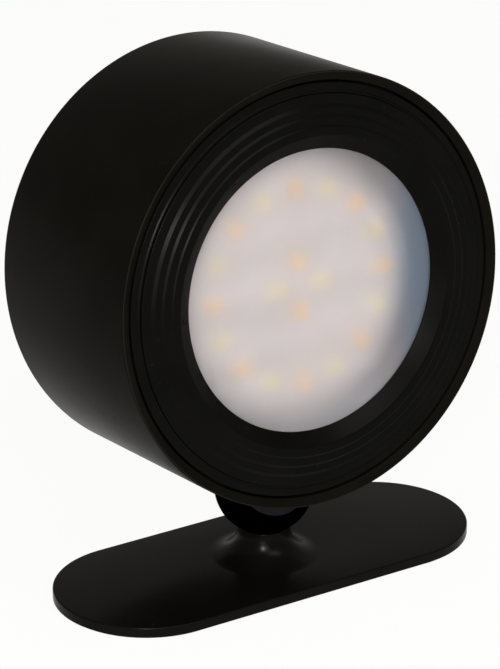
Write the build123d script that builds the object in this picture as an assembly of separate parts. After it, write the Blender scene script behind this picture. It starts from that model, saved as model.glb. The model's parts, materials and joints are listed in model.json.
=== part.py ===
from build123d import *
from math import cos, radians, sin, sqrt
import os

# Magnetic LED light. A round rechargeable lamp head clings by a magnet to a steel ball,
# and the ball sits in the stem of a flat stick-on plate. Millimetres, +Z up. The origin
# is the centre of the plate's sticky underside, and the lamp's face looks towards -Y.
# The head is drawn upright in its own frame: X across, Y as depth behind the rim of the
# face, Z up from the head's axis. place_head then sets it on the ball with its nod.

# General
quarter_turn = 90
full_turn = 360
overrun = 1.0

# Stick-on plate with its stem
plate_length = 96.8
plate_width = 39.6
plate_thickness = 2.1
plate_edge_round = 0.35
pad_thickness = 0.5
pad_inset = 0.6
stem_flare_radius = 6.5
stem_rim_radius = 5.5
stem_bore_radius = 4.6
stem_fit = 0.1
stem_magnet_length = 3.6
ball_cup_floor = 1.0

# Ball, and the air left between it and what cups it
ball_radius = 10.5
ball_gap = 0.12

# Pose and place of the head on the ball
nod_angle = 5
ball_proud = 2.55
ball_depth = 23.3

# Housing shell
head_depth = 48.0
shell_wall = 1.95
rim_set_back = 0.25
rim_slope_drop = 1.1
rim_edge_round = 0.35
shell_back_round = 1.2
flange_front = 5.0
flange_thickness = 3.1
flange_width = 5.5
cover_boss_radius = 3.6
cover_boss_sink = 0.6
cover_boss_length = 14.0
cover_boss_angles = (90, 210, 330)

# Seat that the ball pulls into, with the collar it turns in
seat_fit = 0.1
seat_body_radius = 10.6
seat_flange_width = 1.4
seat_flange_thickness = 1.2
seat_flange_room = 0.3
seat_play = 0.15
seat_roof = 0.9
seat_rim_recess = 0.4
seat_magnet_radius = 7.5
seat_magnet_thickness = 3.0
seat_keeper_thickness = 1.0
collar_wall = 2.2
ear_radius = 2.6
ear_overlap = 0.8
retainer_thickness = 1.5

# Face: stepped bezel, trim ring, tape, diffuser and reflector
bezel_inner_radius = 29.2
bezel_outer_radius = 40.45
bezel_edge = 0.3
bezel_crown_proud = 0.35
bezel_cone_width = 3.0
terrace_pitch = 2.07
terrace_count = 4
riser_width = 0.55
riser_first_drop = 0.25
riser_drop_growth = 0.12
riser_round = 0.18
crown_round = 0.5
bezel_skirt = 2.5
trim_seam = 0.2
trim_width = 1.9
trim_outer_gap = 0.5
trim_set_back = 1.4
trim_bead_width = 0.2
trim_bead_height = 0.22
trim_bead_slope = 0.25
trim_edge_round = 0.12
tape_thickness = 0.2
diffuser_depth = 1.9
diffuser_thickness = 1.5
diffuser_lap = 3.8
diffuser_room = 0.1
reflector_wall = 1.6
reflector_taper = 2.0
reflector_shadow = 0.4

# LED board and its lamps
led_board_radius = 36.0
led_board_thickness = 1.2
led_board_front = 6.9
led_length = 3.5
led_width = 2.8
led_height = 0.8
led_ring_radius = 20.4
led_ring_count = 8
led_core_radius = 5.2
led_core_count = 2
led_screw_circle = 33.5
led_screw_angles = (45, 135, 225, 315)
lead_hole_radius = 3.6

# Inner frame and battery
frame_thickness = 2.0
frame_room = 0.4
frame_screw_angles = (-30, 40, 140, 210)
frame_cut_room = 0.6
cell_radius = 9.25
cell_length = 65.0
cell_nub_radius = 2.75
cell_nub_height = 0.8
cell_height = 9.5
cell_fit = 0.15
cradle_floor = 0.8
cradle_rib = 3.0
cradle_offset = 20.0
cell_pad_width = 16.0
cell_pad_height = 9.0
strap_width = 9.0
strap_thickness = 0.9
strap_foot = 5.0
tab_thickness = 0.2
tab_width = 5.0
tab_length = 9.0

# Control board with what stands on it
board_width = 50.0
board_height = 28.0
board_top = 3.0
board_thickness = 1.6
board_standoff = 5.7
board_post_radius = 2.4
board_post_inset = 3.5
port_width = 8.94
port_height = 3.26
port_wall = 0.35
port_depth = 6.2
port_recess = 0.6
port_room = 0.3
port_rise = 6.0
tongue_width = 6.7
tongue_thickness = 0.7
tongue_set_back = 0.8
chip_size = 5.0
chip_height = 1.0
inductor_size = 6.0
inductor_height = 3.0
capacitor_radius = 2.0
capacitor_height = 4.6
indicator_size = 1.6
indicator_height = 0.7
plug_width = 9.0
plug_room = 2.4
plug_rise = 6.0
plug_height = 4.6
plug_depth = 4.0

# Rear cover, touch spot and status light
cover_thickness = 2.2
cover_room = 0.15
cover_edge_chamfer = 0.3
cover_recess_room = 0.15
touch_radius = 8.0
touch_dish = 0.35
touch_pad_radius = 7.0
touch_pad_thickness = 0.2
contact_barrel_radius = 1.5
contact_tip_radius = 0.9
contact_barrel_share = 0.55
pipe_radius = 1.25
pipe_flange_radius = 2.1
pipe_flange_thickness = 0.7
pipe_room = 0.08
pipe_rise = 0.5

# Screws
screw_radius = 1.1
screw_head_radius = 2.1
screw_head_height = 1.3
screw_pilot_room = 0.05
cover_screw_length = 8.0
small_screw_radius = 0.8
small_screw_grip = 4.0
small_screw_head_radius = 1.6
small_screw_head_height = 1.0
cross_width = 0.45
cross_share = 0.62
cross_depth_share = 0.55

# Leads inside the head
lead_radius = 0.65
lead_pitch = 2.2
lead_bow = 3.0
lead_bend = 6.5
cell_lead_reach = 3.6
cell_lead_bend = 3.2
cell_lead_landing = 6.0
cell_lead_inset = 4.5

# Places that follow from the sizes above
pad_length = plate_length - 2 * pad_inset
pad_width = plate_width - 2 * pad_inset
plate_top = pad_thickness + plate_thickness
stem_rim_height = plate_top + stem_flare_radius
ball_height = stem_rim_height + sqrt((ball_radius + ball_gap) ** 2 - stem_rim_radius ** 2)
ball_cup_bottom = ball_height - ball_radius - ball_gap - ball_cup_floor
stem_bore_floor = ball_cup_bottom - stem_magnet_length
trim_inner_radius = bezel_outer_radius + trim_seam
trim_outer_radius = trim_inner_radius + trim_width
shell_inner_radius = trim_outer_radius + trim_outer_gap
head_radius = shell_inner_radius + shell_wall
ball_drop = head_radius + ball_proud
flange_back = flange_front + flange_thickness
flange_inner_radius = shell_inner_radius - flange_width
cover_front = head_depth - cover_thickness
cover_boss_circle = shell_inner_radius - cover_boss_radius + cover_boss_sink
seat_bore_radius = seat_body_radius + seat_fit
seat_flange_radius = seat_body_radius + seat_flange_width
collar_radius = seat_flange_radius + seat_flange_room + collar_wall
ear_offset = collar_radius + ear_radius - ear_overlap
ball_centre_z = -ball_drop
seat_magnet_low = ball_centre_z + ball_radius + ball_gap + seat_roof
seat_keeper_low = seat_magnet_low + seat_magnet_thickness
seat_top = seat_keeper_low + seat_keeper_thickness
seat_flange_low = seat_top - seat_flange_thickness
seat_rim_z = seat_rim_recess - sqrt(head_radius ** 2 - seat_bore_radius ** 2)
collar_top = seat_top + seat_play
retainer_top = collar_top + retainer_thickness
skirt_end = flange_front - tape_thickness
diffuser_back = diffuser_depth + diffuser_thickness
diffuser_radius = bezel_inner_radius + diffuser_lap
led_board_back = led_board_front + led_board_thickness
frame_back = flange_back + frame_thickness
frame_radius = shell_inner_radius - frame_room
frame_screw_circle = shell_inner_radius - flange_width / 2
frame_cut_z = retainer_top + small_screw_head_height + frame_cut_room
cell_depth = frame_back + cradle_floor + cell_fit + cell_radius
cell_body_length = cell_length - cell_nub_height
board_back = cover_front - board_standoff
board_front = board_back - board_thickness
board_low = board_top - board_height
board_middle = board_top - board_height / 2
lead_hole_x = -(board_width / 2 - board_post_inset - small_screw_head_radius - plug_width / 2 - plug_room)
lead_hole_z = board_low + plug_rise
port_z = board_low + port_rise
pipe_z = board_middle + pipe_rise
port_end = head_depth - port_recess


def rod(radius, front, back, x=0, z=0):
    # A cylinder along the head's depth.
    return Pos(x, (front + back) / 2, z) * Rot(quarter_turn, 0, 0) * Cylinder(radius, back - front)


def post(radius, low, high, x=0, y=0):
    # An upright cylinder.
    return Pos(x, y, (low + high) / 2) * Cylinder(radius, high - low)


def axle(radius, left, right, y=0, z=0):
    # A cylinder across the head, along X.
    return Pos((left + right) / 2, y, z) * Rot(0, quarter_turn, 0) * Cylinder(radius, right - left)


def ring(outer, inner, front, back):
    # A plain ring around the head's axis.
    return rod(outer, front, back) - rod(inner, front - overrun, back + overrun)


def block(left, right, front, back, low, high):
    # A box given by its six faces.
    middle = Pos((left + right) / 2, (front + back) / 2, (low + high) / 2)
    return middle * Box(right - left, back - front, high - low)


def on_circle(radius, angle):
    # A point of the face, as X and Z, at an angle from +X.
    return radius * cos(radians(angle)), radius * sin(radians(angle))


def joined(pieces):
    # Pieces fused where they meet, or kept as separate solids of one group.
    total = pieces[0]
    for piece in pieces[1:]:
        total = total + piece
    return total


def turned(outline):
    # A closed outline in radius and depth, turned around the head's axis.
    return revolve(make_face(outline), Axis.Y, full_turn)


def stadium(length, width, low, high):
    # A flat bar with fully round ends, lying along X.
    return Pos(0, 0, low) * extrude(SlotOverall(length, width), high - low)


def place_head(shape):
    # Sets a piece of the upright head on the ball, nodded so that the face looks up.
    on_ball = Pos(0, 0, ball_height) * Rot(-nod_angle, 0, 0)
    return on_ball * Pos(0, -ball_depth, ball_drop) * shape


def screw(radius, head_radius, head_height, length):
    # A pan head screw with a cross recess. Its head stands on z = 0 and looks up.
    head = post(head_radius, 0, head_height)
    head = fillet(head.edges().group_by(Axis.Z)[-1], head_height / 3)
    body = head + post(radius, -length, 0)
    reach = cross_share * head_radius
    floor = head_height * (1 - cross_depth_share)
    for across in (0, quarter_turn):
        slot = block(-reach, reach, -cross_width / 2, cross_width / 2, floor, head_height + overrun)
        body = body - Rot(0, 0, across) * slot
    return body


def small_screw(length):
    return screw(small_screw_radius, small_screw_head_radius, small_screw_head_height, length)


def facing_back(shape, x, depth, z):
    # Turns a screw so that its head looks out of the back.
    return Pos(x, depth, z) * Rot(-quarter_turn, 0, 0) * shape


def facing_front(shape, x, depth, z):
    # Turns a screw so that its head looks towards the face.
    return Pos(x, depth, z) * Rot(quarter_turn, 0, 0) * shape


def lead(points, bends):
    # One insulated wire along straight runs joined by round bends.
    path = FilletPolyline(*points, radius=bends)
    section = Plane(origin=path @ 0, z_dir=path % 0) * Circle(lead_radius)
    return sweep(section, path=path)


def make_adhesive_pad():
    return stadium(pad_length, pad_width, 0, pad_thickness)


def make_base_plate():
    # One casting: the flat bar, the flared stem and the bore for the stem's magnet.
    bar = stadium(plate_length, plate_width, pad_thickness, plate_top)
    bar = fillet(bar.edges().group_by(Axis.Z)[-1], plate_edge_round)
    foot_radius = stem_rim_radius + stem_flare_radius
    flare = post(foot_radius, pad_thickness, stem_rim_height)
    hollow = Torus(foot_radius, stem_flare_radius)
    flare = flare - Pos(0, 0, stem_rim_height) * hollow
    collar = post(stem_rim_radius, stem_rim_height - plate_thickness, ball_height)
    casting = bar + flare + collar
    casting = casting - Pos(0, 0, ball_height) * Sphere(ball_radius + ball_gap)
    return casting - post(stem_bore_radius, stem_bore_floor, ball_height)


def make_stem_magnet():
    return post(stem_bore_radius - stem_fit, stem_bore_floor, ball_cup_bottom)


def make_ball_cup():
    # A low-friction cup on the magnet, hollowed to the ball.
    cup = post(stem_bore_radius - stem_fit, ball_cup_bottom, stem_rim_height)
    return cup - Pos(0, 0, ball_height) * Sphere(ball_radius + ball_gap)


def make_pivot_ball():
    return Pos(0, 0, ball_height) * Sphere(ball_radius)


def make_seat_cup():
    # The cup in the head that the ball pulls into. It turns in the housing's collar.
    body = post(seat_body_radius, seat_rim_z, seat_top)
    body = body + post(seat_flange_radius, seat_flange_low, seat_top)
    body = body - Pos(0, 0, ball_centre_z) * Sphere(ball_radius + ball_gap)
    body = body - post(seat_magnet_radius + seat_fit, seat_magnet_low, seat_top + overrun)
    return Pos(0, ball_depth, 0) * body


def make_seat_magnet():
    return post(seat_magnet_radius, seat_magnet_low, seat_keeper_low, y=ball_depth)


def make_seat_keeper():
    return post(seat_magnet_radius, seat_keeper_low, seat_top, y=ball_depth)


def seat_boss():
    # The collar and its two screw ears, trimmed to the housing's round wall.
    boss = post(collar_radius, -head_radius, collar_top, y=ball_depth)
    for side in (-1, 1):
        boss = boss + post(ear_radius, -head_radius, collar_top, x=side * ear_offset, y=ball_depth)
    return boss & rod(head_radius - shell_wall / 2, 0, head_depth)


def seat_room():
    # What is cut out of the collar: the bore, the flange's room and the pilot holes.
    flange_floor = seat_flange_low - seat_play
    room = post(seat_bore_radius, -head_radius - overrun, collar_top + overrun, y=ball_depth)
    room = room + post(seat_flange_radius + seat_flange_room, flange_floor, collar_top + overrun, y=ball_depth)
    pilot = small_screw_radius + screw_pilot_room
    for side in (-1, 1):
        low = collar_top - small_screw_grip - screw_pilot_room
        room = room + post(pilot, low, collar_top + overrun, x=side * ear_offset, y=ball_depth)
    return room


def make_housing_shell():
    # The barrel with its sloped front rim, a flange for the face and three cover bosses.
    rim_inner_depth = rim_set_back + rim_slope_drop
    corner = (head_radius, rim_set_back)
    back_corner = (head_radius, head_depth)
    outside = FilletPolyline(
        (shell_inner_radius, rim_inner_depth),
        corner,
        back_corner,
        (shell_inner_radius, head_depth),
        radius=[rim_edge_round, shell_back_round],
    )
    inside = Line((shell_inner_radius, head_depth), (shell_inner_radius, rim_inner_depth))
    shell = turned(outside + inside)
    middle_of_wall = head_radius - shell_wall / 2
    shell = shell + ring(middle_of_wall, flange_inner_radius, flange_front, flange_back)
    pilot = screw_radius + screw_pilot_room
    for angle in cover_boss_angles:
        x, z = on_circle(cover_boss_circle, angle)
        boss = rod(cover_boss_radius, cover_front - cover_boss_length, cover_front, x, z)
        shell = shell + boss
    shell = shell + seat_boss() - seat_room()
    for angle in cover_boss_angles:
        x, z = on_circle(cover_boss_circle, angle)
        shell = shell - rod(pilot, cover_front - cover_screw_length, cover_front + overrun, x, z)
    for angle in frame_screw_angles:
        x, z = on_circle(frame_screw_circle, angle)
        low = flange_back - flange_thickness * 2 / 3
        shell = shell - rod(small_screw_radius + screw_pilot_room, low, flange_back + overrun, x, z)
    return shell


def make_seat_retainer():
    # The plate over the collar that keeps the seat's flange in.
    plate = post(collar_radius, collar_top, retainer_top, y=ball_depth)
    hole = small_screw_radius + screw_pilot_room
    for side in (-1, 1):
        plate = plate + post(ear_radius, collar_top, retainer_top, x=side * ear_offset, y=ball_depth)
    for side in (-1, 1):
        x = side * ear_offset
        plate = plate - post(hole, collar_top - overrun, retainer_top + overrun, x=x, y=ball_depth)
    return plate


def make_retainer_screws():
    length = retainer_thickness + small_screw_grip
    shape = small_screw(length)
    return joined([Pos(side * ear_offset, ball_depth, retainer_top) * shape for side in (-1, 1)])


def make_stepped_bezel():
    # The ring around the light: a cone up to the crown, then terraces that step down.
    depth = -bezel_crown_proud
    front = [(bezel_inner_radius, diffuser_depth - bezel_edge)]
    front.append((bezel_inner_radius + bezel_cone_width, depth))
    rounds = [crown_round]
    for step in range(terrace_count - 1):
        radius = bezel_outer_radius - (terrace_count - 1 - step) * terrace_pitch
        drop = riser_first_drop + step * riser_drop_growth
        front.append((radius - riser_width, depth))
        front.append((radius, depth + drop))
        rounds = rounds + [riser_round, riser_round]
        depth = depth + drop
    front.append((bezel_outer_radius, depth))
    rounds.append(2 * riser_round)
    front.append((bezel_outer_radius, skirt_end))
    face = FilletPolyline(*front, radius=rounds)
    skirt_inner = bezel_outer_radius - bezel_skirt
    rest = Polyline(
        (bezel_outer_radius, skirt_end),
        (skirt_inner, skirt_end),
        (skirt_inner, diffuser_back),
        (diffuser_radius + diffuser_room, diffuser_back),
        (diffuser_radius + diffuser_room, diffuser_depth),
        (bezel_inner_radius, diffuser_depth),
        (bezel_inner_radius, diffuser_depth - bezel_edge),
    )
    return turned(face + rest)


def make_trim_ring():
    # The narrow outer ring, with a low bead along its inner edge.
    bead = trim_set_back - trim_bead_height
    bead_end = trim_inner_radius + trim_bead_width
    outline = FilletPolyline(
        (trim_inner_radius, skirt_end),
        (trim_inner_radius, bead),
        (bead_end, bead),
        (bead_end + trim_bead_slope, trim_set_back),
        (trim_outer_radius, trim_set_back),
        (trim_outer_radius, skirt_end),
        radius=[trim_edge_round / 2, trim_edge_round / 2, trim_edge_round / 2, trim_edge_round],
    )
    floor = Line((trim_outer_radius, skirt_end), (trim_inner_radius, skirt_end))
    return turned(outline + floor)


def make_bezel_tape():
    return ring(trim_outer_radius, bezel_outer_radius - bezel_skirt, skirt_end, flange_front)


def make_diffuser():
    return rod(diffuser_radius, diffuser_depth, diffuser_back)


def make_reflector():
    # The white tapered wall between the diffuser and the LED board.
    wide = bezel_inner_radius + reflector_shadow
    outline = Polyline(
        (wide, diffuser_back),
        (wide + reflector_wall, diffuser_back),
        (wide + reflector_wall, led_board_front),
        (wide - reflector_taper, led_board_front),
        (wide, diffuser_back),
    )
    return turned(outline)


def make_led_board():
    board = rod(led_board_radius, led_board_front, led_board_back)
    hole = small_screw_radius + screw_pilot_room
    for angle in led_screw_angles:
        x, z = on_circle(led_screw_circle, angle)
        board = board - rod(hole, led_board_front - overrun, led_board_back + overrun, x, z)
    return board


def make_led_board_screws():
    shape = small_screw(led_board_thickness + frame_thickness)
    places = [on_circle(led_screw_circle, angle) for angle in led_screw_angles]
    return joined([facing_front(shape, x, led_board_front, z) for x, z in places])


def led(radius, angle):
    # One surface-mounted lamp, turned to face its own angle.
    x, z = on_circle(radius, angle)
    body = Box(led_length, led_height, led_width)
    body = fillet(body.edges().filter_by(Axis.Y), led_width / 10)
    return Pos(x, led_board_front - led_height / 2, z) * Rot(0, -angle, 0) * body


def led_set(ring_start, core_start):
    # Every second lamp of the outer ring, and two of the four in the middle.
    lamps = []
    for number in range(led_ring_count):
        lamps.append(led(led_ring_radius, ring_start + number * full_turn / led_ring_count))
    for number in range(led_core_count):
        lamps.append(led(led_core_radius, core_start + number * full_turn / led_core_count))
    return joined(lamps)


def make_warm_leds():
    return led_set(0, quarter_turn)


def make_cool_leds():
    return led_set(full_turn / led_ring_count / 2, 0)


def make_inner_frame():
    # The plate behind the LED board, cut away over the ball seat, with a cell cradle.
    plate = rod(frame_radius, flange_back, frame_back)
    plate = plate - block(
        -head_radius, head_radius, flange_back - overrun, frame_back + overrun, -head_radius, frame_cut_z
    )
    cradle_height = cell_radius + cell_fit
    for side in (-1, 1):
        left = side * cradle_offset - cradle_rib / 2
        rib = block(
            left, left + cradle_rib, flange_back, cell_depth, cell_height - cradle_height, cell_height + cradle_height
        )
        plate = plate + rib
    plate = plate - axle(cell_radius + cell_fit, -cell_length, cell_length, cell_depth, cell_height)
    for angle in frame_screw_angles:
        x, z = on_circle(frame_screw_circle, angle)
        plate = plate - rod(small_screw_radius + screw_pilot_room, 0, frame_back + overrun, x, z)
    for angle in led_screw_angles:
        x, z = on_circle(led_screw_circle, angle)
        plate = plate - rod(small_screw_radius + screw_pilot_room, 0, frame_back + overrun, x, z)
    for side in (-1, 1):
        z = cell_height + side * strap_screw_offset()
        plate = plate - rod(small_screw_radius + screw_pilot_room, flange_back, frame_back + overrun, 0, z)
    return plate - rod(lead_hole_radius, 0, frame_back + overrun, lead_hole_x, lead_hole_z)


def make_frame_screws():
    length = frame_thickness + flange_thickness / 2
    shape = small_screw(length)
    places = [on_circle(frame_screw_circle, angle) for angle in frame_screw_angles]
    return joined([facing_back(shape, x, frame_back, z) for x, z in places])


def make_battery_cell():
    start = -cell_length / 2
    end = start + cell_body_length
    body = axle(cell_radius, start, end, cell_depth, cell_height)
    return body + axle(cell_nub_radius, end, end + cell_nub_height, cell_depth, cell_height)


def make_battery_pad():
    # Foam between the frame's plate and the cell.
    half_width = cell_pad_width / 2
    half_height = cell_pad_height / 2
    low = cell_height - half_height
    pad = block(-half_width, half_width, frame_back, cell_depth, low, low + cell_pad_height)
    return pad - axle(cell_radius, -cell_length, cell_length, cell_depth, cell_height)


def strap_screw_offset():
    return cell_radius + cell_fit + strap_thickness + strap_foot / 2


def make_battery_strap():
    # A band over the cell, with a screwed foot on each side.
    inner = cell_radius + cell_fit
    outer = inner + strap_thickness
    left = -strap_width / 2
    right = strap_width / 2
    band = axle(outer, left, right, cell_depth, cell_height)
    band = band + block(left, right, frame_back, cell_depth, cell_height - outer, cell_height + outer)
    band = band - axle(inner, left - overrun, right + overrun, cell_depth, cell_height)
    band = band - block(
        left - overrun, right + overrun, frame_back - overrun, cell_depth, cell_height - inner, cell_height + inner
    )
    foot_back = frame_back + strap_thickness
    for side in (-1, 1):
        near = cell_height + side * inner
        far = cell_height + side * (outer + strap_foot)
        band = band + block(left, right, frame_back, foot_back, min(near, far), max(near, far))
        z = cell_height + side * strap_screw_offset()
        band = band - rod(small_screw_radius + screw_pilot_room, 0, foot_back + overrun, 0, z)
    return band


def make_strap_screws():
    shape = small_screw(strap_thickness + frame_thickness / 2)
    depth = frame_back + strap_thickness
    places = [cell_height - strap_screw_offset(), cell_height + strap_screw_offset()]
    return joined([facing_back(shape, 0, depth, z) for z in places])


def make_battery_tabs():
    # Spot-welded strips on the two ends of the cell.
    half = tab_width / 2
    low = cell_height + half - tab_length
    high = cell_height + half
    start = -cell_length / 2
    left_tab = block(start - tab_thickness, start, cell_depth - half, cell_depth + half, low, high)
    end = start + cell_length
    right_tab = block(end, end + tab_thickness, cell_depth - half, cell_depth + half, low, high)
    return left_tab + right_tab


def cell_lead(side):
    # A lead from a cell tab, round the cell's end and back to the control board.
    start = side * (cell_length / 2 + tab_thickness)
    z = cell_height + tab_width / 2 - tab_length + lead_radius * 2
    out = start + side * (cell_lead_bend + cell_lead_reach)
    landing = side * (board_width / 2 - cell_lead_inset)
    board_z = board_top - cell_lead_landing
    approach = board_front - cell_lead_landing
    points = [
        (start, cell_depth, z),
        (out, cell_depth, z),
        (out - side * lead_bow, approach - lead_bow, board_z),
        (landing, approach, board_z),
        (landing, board_front, board_z),
    ]
    return lead(points, [cell_lead_bend, cell_lead_bend, cell_lead_bend * 2 / 3])


def make_battery_lead_red():
    return cell_lead(1)


def make_battery_lead_black():
    return cell_lead(-1)


def make_control_board():
    board = block(-board_width / 2, board_width / 2, board_front, board_back, board_low, board_top)
    board = fillet(board.edges().filter_by(Axis.Y), board_thickness)
    hole = small_screw_radius + screw_pilot_room
    for x, z in board_posts():
        board = board - rod(hole, board_front - overrun, board_back + overrun, x, z)
    return board


def board_posts():
    # The four posts of the rear cover that carry the control board, as X and Z.
    x = board_width / 2 - board_post_inset
    return [
        (-x, board_low + board_post_inset),
        (x, board_low + board_post_inset),
        (-x, board_top - board_post_inset),
        (x, board_top - board_post_inset),
    ]


def make_board_screws():
    shape = small_screw(board_thickness + board_standoff / 2)
    return joined([facing_front(shape, x, board_front, z) for x, z in board_posts()])


def make_board_components():
    # Two chips, a choke and two capacitors on the front, the status lamp on the back.
    half = chip_size / 2
    pieces = []
    for x in (-chip_size, chip_size):
        low = board_middle - half
        pieces.append(block(x - half, x + half, board_front - chip_height, board_front, low, low + chip_size))
    choke_left = chip_size + inductor_size
    pieces.append(
        block(
            choke_left,
            choke_left + inductor_size,
            board_front - inductor_height,
            board_front,
            board_middle - inductor_size,
            board_middle,
        )
    )
    for number in (1, 2):
        x = 3 * number * capacitor_radius
        z = board_low + 2 * capacitor_radius
        pieces.append(rod(capacitor_radius, board_front - capacitor_height, board_front, x, z))
    lamp = indicator_size / 2
    pieces.append(block(-lamp, lamp, board_back, board_back + indicator_height, pipe_z - lamp, pipe_z + lamp))
    return joined(pieces)


def upright_slot(width, height, front, back, z):
    # A slot with round ends, along X, that runs through the depth.
    bar = extrude(SlotOverall(width, height), back - front)
    return Pos(0, back, z) * Rot(quarter_turn, 0, 0) * bar


def make_usb_c_socket():
    # The charging port: a metal sleeve open to the back, with its tongue.
    sleeve = upright_slot(port_width, port_height, board_back, port_end, port_z)
    mouth = port_end - port_depth
    hollow_width = port_width - 2 * port_wall
    hollow_height = port_height - 2 * port_wall
    sleeve = sleeve - upright_slot(hollow_width, hollow_height, mouth, port_end + overrun, port_z)
    half = tongue_thickness / 2
    tongue_end = port_end - tongue_set_back
    tongue = block(
        -tongue_width / 2, tongue_width / 2, mouth - port_wall / 2, tongue_end, port_z - half, port_z + half
    )
    return sleeve + tongue


def make_led_plug():
    # The small connector that the LED leads end in, on the front of the board.
    left = lead_hole_x - plug_width / 2
    low = lead_hole_z - plug_height / 2
    return block(left, left + plug_width, board_front - plug_depth, board_front, low, low + plug_height)


def make_led_leads():
    # Three leads from the back of the LED board through the frame to the plug.
    wires = []
    end = board_front - plug_depth
    middle = (led_board_back + end) / 2
    for number in (-1, 0, 1):
        x = lead_hole_x + number * lead_pitch
        z = lead_hole_z
        wires.append(
            lead(
                [
                    (x, led_board_back, z),
                    (x, middle - lead_bend, z),
                    (x, middle, z + lead_bow),
                    (x, middle + lead_bend, z),
                    (x, end, z),
                ],
                [lead_bend, lead_bend / 2, lead_bend],
            )
        )
    return joined(wires)


def make_rear_cover():
    # The disc that closes the back, with posts for the board and cuts for what shows.
    cover = rod(shell_inner_radius - cover_room, cover_front, head_depth)
    cover = chamfer(cover.edges().group_by(Axis.Y)[-1], cover_edge_chamfer)
    post_pilot = small_screw_radius + screw_pilot_room
    for x, z in board_posts():
        cover = cover + rod(board_post_radius, board_back, cover_front + cover_thickness / 2, x, z)
    for x, z in board_posts():
        cover = cover - rod(post_pilot, board_back - overrun, cover_front, x, z)
    for angle in cover_boss_angles:
        x, z = on_circle(cover_boss_circle, angle)
        cover = cover - rod(screw_radius + screw_pilot_room, cover_front - overrun, head_depth, x, z)
        head_floor = head_depth - screw_head_height
        recess = screw_head_radius + cover_recess_room
        cover = cover - rod(recess, head_floor, head_depth + overrun, x, z)
    cover = cover - upright_slot(
        port_width + 2 * port_room, port_height + 2 * port_room, cover_front - overrun, head_depth + overrun, port_z
    )
    cover = cover - rod(pipe_radius + pipe_room, cover_front - overrun, head_depth + overrun, 0, pipe_z)
    dish = rod(touch_radius, head_depth - touch_dish, head_depth + overrun)
    return cover - dish


def make_cover_screws():
    shape = screw(screw_radius, screw_head_radius, screw_head_height, cover_screw_length)
    depth = head_depth - screw_head_height
    places = [on_circle(cover_boss_circle, angle) for angle in cover_boss_angles]
    return joined([facing_back(shape, x, depth, z) for x, z in places])


def make_touch_pad():
    # Copper foil on the inside of the cover, behind the touch spot.
    return rod(touch_pad_radius, cover_front - touch_pad_thickness, cover_front)


def make_touch_contact():
    # A sprung pin from the control board to the touch foil.
    foil = cover_front - touch_pad_thickness
    barrel_end = board_back + contact_barrel_share * (foil - board_back)
    pin = rod(contact_barrel_radius, board_back, barrel_end)
    return pin + rod(contact_tip_radius, barrel_end, foil)


def make_light_pipe():
    # The clear pin that carries the status light out through the cover.
    front = board_back + indicator_height
    pin = rod(pipe_radius, front, head_depth, 0, pipe_z)
    return pin + rod(pipe_flange_radius, cover_front - pipe_flange_thickness, cover_front, 0, pipe_z)


mount_pieces = {
    "adhesive_pad": make_adhesive_pad,
    "base_plate": make_base_plate,
    "stem_magnet": make_stem_magnet,
    "ball_cup": make_ball_cup,
    "pivot_ball": make_pivot_ball,
}

head_pieces = {
    "seat_cup": make_seat_cup,
    "seat_magnet": make_seat_magnet,
    "seat_keeper": make_seat_keeper,
    "housing_shell": make_housing_shell,
    "seat_retainer": make_seat_retainer,
    "retainer_screws": make_retainer_screws,
    "stepped_bezel": make_stepped_bezel,
    "trim_ring": make_trim_ring,
    "bezel_tape": make_bezel_tape,
    "diffuser": make_diffuser,
    "reflector": make_reflector,
    "led_board": make_led_board,
    "led_board_screws": make_led_board_screws,
    "warm_leds": make_warm_leds,
    "cool_leds": make_cool_leds,
    "led_leads": make_led_leads,
    "inner_frame": make_inner_frame,
    "frame_screws": make_frame_screws,
    "battery_cell": make_battery_cell,
    "battery_pad": make_battery_pad,
    "battery_strap": make_battery_strap,
    "strap_screws": make_strap_screws,
    "battery_tabs": make_battery_tabs,
    "battery_lead_red": make_battery_lead_red,
    "battery_lead_black": make_battery_lead_black,
    "control_board": make_control_board,
    "board_screws": make_board_screws,
    "board_components": make_board_components,
    "led_plug": make_led_plug,
    "usb_c_socket": make_usb_c_socket,
    "rear_cover": make_rear_cover,
    "cover_screws": make_cover_screws,
    "touch_pad": make_touch_pad,
    "touch_contact": make_touch_contact,
    "light_pipe": make_light_pipe,
}

os.makedirs("parts", exist_ok=True)
for name, make in mount_pieces.items():
    export_step(make(), "parts/" + name + ".step")
for name, make in head_pieces.items():
    export_step(place_head(make()), "parts/" + name + ".step")
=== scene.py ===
import bpy
import json
from math import atan2, cos, pi, radians, sin, sqrt, tan
from mathutils import Matrix, Vector


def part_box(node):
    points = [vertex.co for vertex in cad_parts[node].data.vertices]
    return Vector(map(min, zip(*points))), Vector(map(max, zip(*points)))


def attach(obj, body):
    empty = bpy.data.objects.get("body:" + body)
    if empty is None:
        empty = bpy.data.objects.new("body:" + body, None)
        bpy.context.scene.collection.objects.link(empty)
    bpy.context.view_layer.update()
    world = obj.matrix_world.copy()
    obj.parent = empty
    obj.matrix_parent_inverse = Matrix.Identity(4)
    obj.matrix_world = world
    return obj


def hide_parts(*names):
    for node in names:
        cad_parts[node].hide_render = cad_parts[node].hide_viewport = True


# A magnetic LED light: a matt black drum with a frosted round face, held by a magnet on a
# polished black ball, which sits on the flared stem of a stick-on plate. Metres throughout.

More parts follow.
